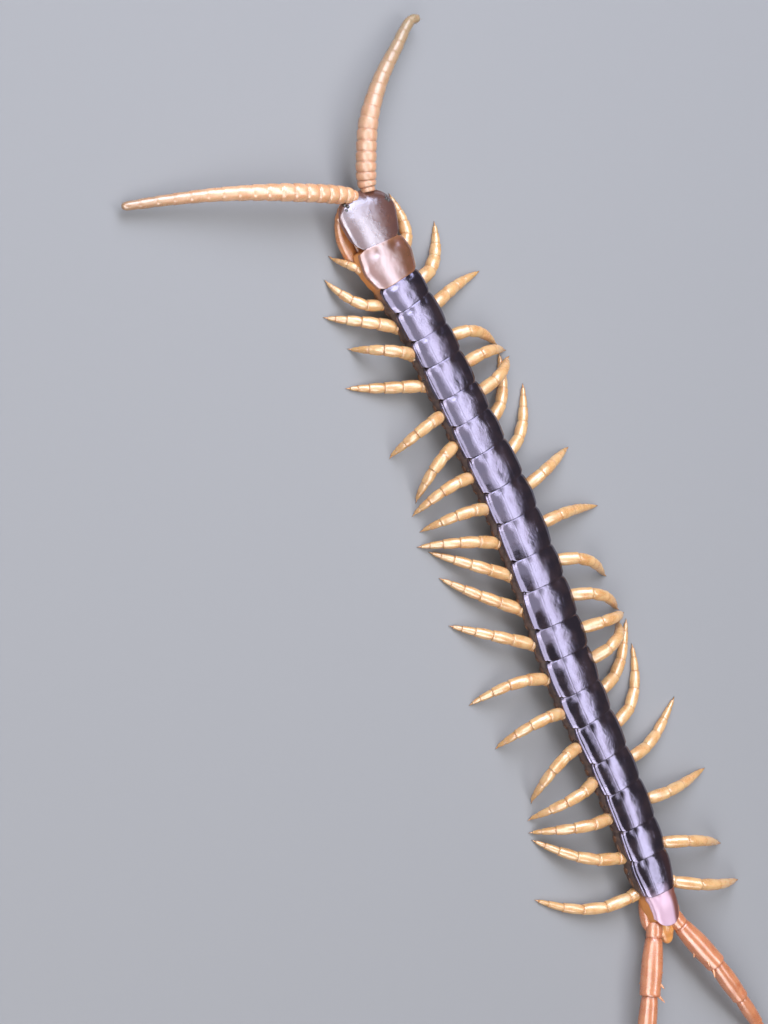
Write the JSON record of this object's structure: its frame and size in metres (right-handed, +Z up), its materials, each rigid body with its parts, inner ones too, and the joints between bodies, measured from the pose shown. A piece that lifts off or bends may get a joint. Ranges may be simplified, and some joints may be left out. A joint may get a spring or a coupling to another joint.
{
  "type": "giant centipede",
  "caption": "Giant centipede standing in a walking pose: flat plated body, arched legs, long antennae and a trailing last pair of legs.",
  "frame": {"origin": "centre of the bounding box on the floor, z = 0 at the flats under the feet", "axes": "+Y from head to tail, +X to the animal's left, +Z up"},
  "size_m": [0.0674, 0.2036, 0.0079],
  "materials": {
    "plate": "smooth wet-looking cuticle, near black with a violet sheen",
    "neck_plate": "smooth glossy cuticle, red-brown",
    "head_plate": "smooth glossy cuticle, dark red-brown",
    "tail_plate": "smooth glossy cuticle, brown-red",
    "leg": "smooth satin cuticle, amber yellow",
    "last_leg": "smooth glossy cuticle, orange-red",
    "antenna": "finely haired cuticle, tan orange",
    "jaw": "smooth glossy cuticle, orange-brown",
    "eye": "glassy black"
  },
  "bodies": {
    "root": {"head": "head_plate", "trunk_01": "neck_plate", "trunk_02_04": "plate", "trunk_05_07": "plate", "trunk_08_10": "plate", "trunk_11_13": "plate", "trunk_14_16": "plate", "trunk_17_19": "plate", "trunk_20_21": "tail_plate", "jaw_plate": "jaw", "eye_left": "eye", "antenna_left": "antenna", "venom_claw_left": "jaw", "leg_left_01": "leg", "leg_left_02": "leg", "leg_left_03": "leg", "leg_left_04": "leg", "leg_left_05": "leg", "leg_left_06": "leg", "leg_left_07": "leg", "leg_left_08": "leg", "leg_left_09": "leg", "leg_left_10": "leg", "leg_left_11": "leg", "leg_left_12": "leg", "leg_left_13": "leg", "leg_left_14": "leg", "leg_left_15": "leg", "leg_left_16": "leg", "leg_left_17": "leg", "leg_left_18": "leg", "leg_left_19": "leg", "leg_left_20": "leg", "leg_left_21": "last_leg", "eye_right": "eye", "antenna_right": "antenna", "venom_claw_right": "jaw", "leg_right_01": "leg", "leg_right_02": "leg", "leg_right_03": "leg", "leg_right_04": "leg", "leg_right_05": "leg", "leg_right_06": "leg", "leg_right_07": "leg", "leg_right_08": "leg", "leg_right_09": "leg", "leg_right_10": "leg", "leg_right_11": "leg", "leg_right_12": "leg", "leg_right_13": "leg", "leg_right_14": "leg", "leg_right_15": "leg", "leg_right_16": "leg", "leg_right_17": "leg", "leg_right_18": "leg", "leg_right_19": "leg", "leg_right_20": "leg", "leg_right_21": "last_leg"}
  },
  "joints": []
}
